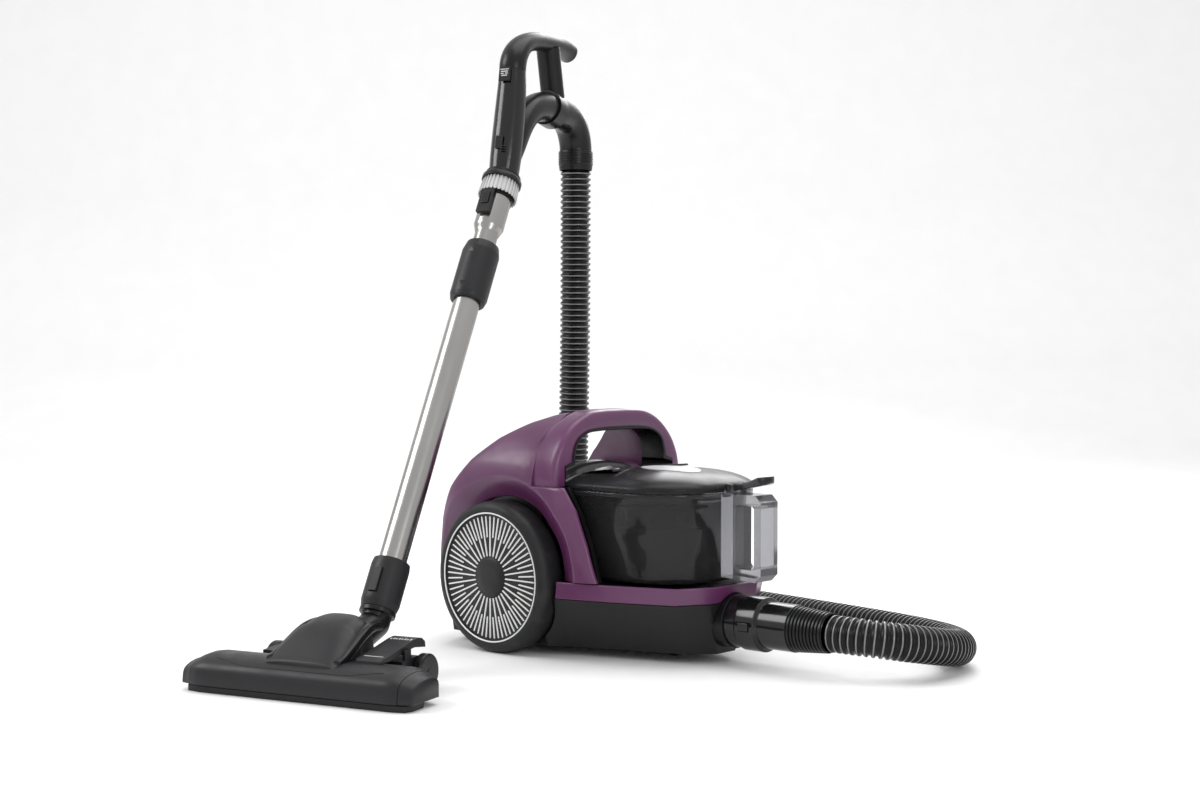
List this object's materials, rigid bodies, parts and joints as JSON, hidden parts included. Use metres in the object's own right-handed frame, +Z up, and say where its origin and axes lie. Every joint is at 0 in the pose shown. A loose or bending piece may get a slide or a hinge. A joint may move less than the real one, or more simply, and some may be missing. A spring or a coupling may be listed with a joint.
{
  "type": "canister vacuum cleaner",
  "caption": "Bagless canister vacuum cleaner with a clear dust bin, big rear wheels, a corrugated hose, a telescopic wand and a floor head.",
  "frame": {"origin": "on the floor, at the centre of the footprint of the canister, wand and floor head without the hose", "axes": "+Z up, +X along the canister from its rear wheels to its hose inlet, +Y to the canister's left, away from the floor head"},
  "size_m": [0.6841, 0.8013, 0.7705],
  "materials": {
    "purple_shell": "satin, metallic fleck",
    "charcoal_plastic": "fine grain",
    "black_gloss": "glossy",
    "grey_plastic": "satin",
    "smoked_clear": "smoked, glossy",
    "clear_plastic": "clear, glossy",
    "tyre_rubber": "matte",
    "wheel_face": "moulded radial ribs",
    "chrome_tube": "polished, fine drawn lines",
    "steel": "turned",
    "motor_metal": "plain",
    "filter_fleece": "pleated",
    "hose_plastic": "corrugated",
    "bristle": "fine fibres"
  },
  "bodies": {
    "canister": {"base_tray": "charcoal_plastic", "front_band": "purple_shell", "bin_bay": "black_gloss", "rear_deck": "black_gloss", "side_shell_right": "purple_shell", "side_shell_left": "purple_shell", "carry_handle": "purple_shell", "outlet_duct": "grey_plastic", "cord_outlet": "black_gloss", "rear_axles": "steel", "motor_housing": "motor_metal", "motor_filters": "filter_fleece", "reel_stand": "grey_plastic", "inlet_socket": "black_gloss", "head_cover": "charcoal_plastic", "head_end_caps": "charcoal_plastic", "head_sole": "charcoal_plastic", "head_frame": "charcoal_plastic", "hose": "hose_plastic"},
    "wheel_right": {"wheel_tyre_right": "tyre_rubber", "wheel_disc_right": "wheel_face"},
    "wheel_left": {"wheel_tyre_left": "tyre_rubber", "wheel_disc_left": "wheel_face"},
    "caster": {"caster_fork": "charcoal_plastic"},
    "caster_roller": {"caster_wheel": "tyre_rubber"},
    "rotor": {"motor_rotor": "motor_metal"},
    "reel": {"cord_drum": "grey_plastic"},
    "power": {"power_button": "charcoal_plastic"},
    "rewind": {"rewind_button": "charcoal_plastic"},
    "bin": {"bin_cup": "smoked_clear", "bin_handle": "clear_plastic", "cyclone": "charcoal_plastic"},
    "lid": {"bin_lid": "smoked_clear", "lid_filter": "filter_fleece"},
    "lever": {"release_lever": "clear_plastic"},
    "cuff": {"hose_cuff": "black_gloss", "cuff_sleeve": "black_gloss"},
    "latch_right": {"cuff_latch_right": "grey_plastic"},
    "latch_left": {"cuff_latch_left": "grey_plastic"},
    "bristles": {"brush_strips": "bristle"},
    "pedal": {"head_pedal": "charcoal_plastic"},
    "head_roller_right": {"head_wheel_right": "charcoal_plastic"},
    "head_roller_left": {"head_wheel_left": "charcoal_plastic"},
    "neck": {"neck_knuckle": "black_gloss"},
    "lower_wand": {"swivel_elbow": "black_gloss", "wand_adapter": "charcoal_plastic", "lower_tube": "chrome_tube"},
    "adapter_lock": {"adapter_button": "charcoal_plastic"},
    "sleeve": {"telescope_sleeve": "charcoal_plastic"},
    "upper_wand": {"upper_tube": "chrome_tube", "grip_spigot": "black_gloss", "brush_ring": "bristle", "grip_body": "black_gloss", "grip_strut": "black_gloss", "grip_top": "black_gloss", "hose_elbow": "black_gloss"},
    "spigot_lock": {"lock_button": "black_gloss"},
    "grip_lock": {"grip_button": "black_gloss"},
    "air_slider": {"suction_slider": "grey_plastic"},
    "collar": {"hose_collar": "black_gloss"}
  },
  "joints": [
    {"name": "wheel_right_spin", "type": "hinge", "parent": "canister", "child": "wheel_right", "pos_m": [-0.1167, 0.0423, 0.09], "axis": [0, 1, 0], "continuous": true},
    {"name": "wheel_left_spin", "type": "hinge", "parent": "canister", "child": "wheel_left", "pos_m": [-0.1167, 0.2883, 0.09], "axis": [0, 1, 0], "continuous": true},
    {"name": "caster_swivel", "type": "hinge", "parent": "canister", "child": "caster", "pos_m": [0.0613, 0.1653, 0.03], "axis": [0, 0, 1], "continuous": true},
    {"name": "caster_spin", "type": "hinge", "parent": "caster", "child": "caster_roller", "pos_m": [0.0553, 0.1653, 0.013], "axis": [0, 1, 0], "continuous": true},
    {"name": "rotor_spin", "type": "hinge", "parent": "canister", "child": "rotor", "pos_m": [-0.1167, 0.1653, 0.118], "axis": [1, 0, 0], "continuous": true},
    {"name": "reel_spin", "type": "hinge", "parent": "canister", "child": "reel", "pos_m": [-0.2007, 0.1653, 0.076], "axis": [0, 1, 0], "continuous": true},
    {"name": "power_press", "type": "slide", "parent": "canister", "child": "power", "axis": [0.4679, 0, -0.8838], "range_m": [0, 0.003], "stiffness_N_per_m": 600},
    {"name": "rewind_press", "type": "slide", "parent": "canister", "child": "rewind", "axis": [0.4679, 0, -0.8838], "range_m": [0, 0.003], "stiffness_N_per_m": 600},
    {"name": "bin_removal", "type": "slide", "parent": "canister", "child": "bin", "axis": [0.9397, 0, 0.342], "range_m": [0, 0.18]},
    {"name": "lid_hinge", "type": "hinge", "parent": "bin", "child": "lid", "pos_m": [-0.0557, 0.1653, 0.202], "axis": [0, -1, 0], "range_deg": [0, 17]},
    {"name": "release_lever_press", "type": "hinge", "parent": "bin", "child": "lever", "pos_m": [0.1433, 0.1653, 0.2025], "axis": [0, 1, 0], "range_deg": [0, 8], "stiffness_Nm_per_rad": 0.3},
    {"name": "cuff_swivel", "type": "hinge", "parent": "canister", "child": "cuff", "pos_m": [0.1533, 0.1653, 0.05], "axis": [1, 0, 0], "continuous": true},
    {"name": "latch_right_press", "type": "slide", "parent": "cuff", "child": "latch_right", "axis": [0, 1, 0], "range_m": [0, 0.002], "stiffness_N_per_m": 600},
    {"name": "latch_left_press", "type": "slide", "parent": "cuff", "child": "latch_left", "axis": [0, -1, 0], "range_m": [0, 0.002], "stiffness_N_per_m": 600},
    {"name": "bristle_lift", "type": "slide", "parent": "canister", "child": "bristles", "axis": [0, 0, 1], "range_m": [0, 0.005]},
    {"name": "pedal_rock", "type": "hinge", "parent": "canister", "child": "pedal", "pos_m": [-0.02254, -0.20686, 0.043], "axis": [-0.9588, -0.284, 0], "range_deg": [0, 5]},
    {"name": "head_wheel_right_spin", "type": "hinge", "parent": "canister", "child": "head_roller_right", "pos_m": [-0.00538, -0.17674, 0.02], "axis": [0.9588, 0.284, 0], "continuous": true},
    {"name": "head_wheel_left_spin", "type": "hinge", "parent": "canister", "child": "head_roller_left", "pos_m": [-0.18564, -0.23014, 0.02], "axis": [0.9588, 0.284, 0], "continuous": true},
    {"name": "neck_tilt", "type": "hinge", "parent": "canister", "child": "neck", "pos_m": [-0.0904, -0.2207, 0.036], "axis": [-0.9588, -0.284, 0], "range_deg": [-28, 0]},
    {"name": "neck_swivel", "type": "hinge", "parent": "neck", "child": "lower_wand", "pos_m": [-0.0904, -0.2207, 0.036], "axis": [-0.2694, 0.9096, 0.3162], "range_deg": [-25, 25]},
    {"name": "adapter_button_press", "type": "slide", "parent": "lower_wand", "child": "adapter_lock", "axis": [-0.246, 0.8304, -0.5], "range_m": [0, 0.0016], "stiffness_N_per_m": 600},
    {"name": "sleeve_release", "type": "slide", "parent": "lower_wand", "child": "sleeve", "axis": [-0.142, 0.4794, 0.866], "range_m": [0, 0.005], "stiffness_N_per_m": 600},
    {"name": "telescope", "type": "slide", "parent": "lower_wand", "child": "upper_wand", "axis": [-0.142, 0.4794, 0.866], "range_m": [0, 0.25]},
    {"name": "lock_button_press", "type": "slide", "parent": "upper_wand", "child": "spigot_lock", "axis": [-0.246, 0.8304, -0.5], "range_m": [0, 0.0013], "stiffness_N_per_m": 600},
    {"name": "grip_button_press", "type": "slide", "parent": "upper_wand", "child": "grip_lock", "axis": [-0.2797, 0.9443, -0.1736], "range_m": [0, 0.0012], "stiffness_N_per_m": 600},
    {"name": "suction_regulator", "type": "slide", "parent": "upper_wand", "child": "air_slider", "axis": [-0.0493, 0.1665, 0.9848], "range_m": [0, 0.012]},
    {"name": "hose_collar_swivel", "type": "hinge", "parent": "upper_wand", "child": "collar", "pos_m": [-0.25149, 0.32313, 0.62457], "axis": [0, 0, -1], "continuous": true}
  ],
  "couplings": [
    {"joint": "pedal_rock", "follows": "bristle_lift", "rad_per_m": 17.4}
  ]
}
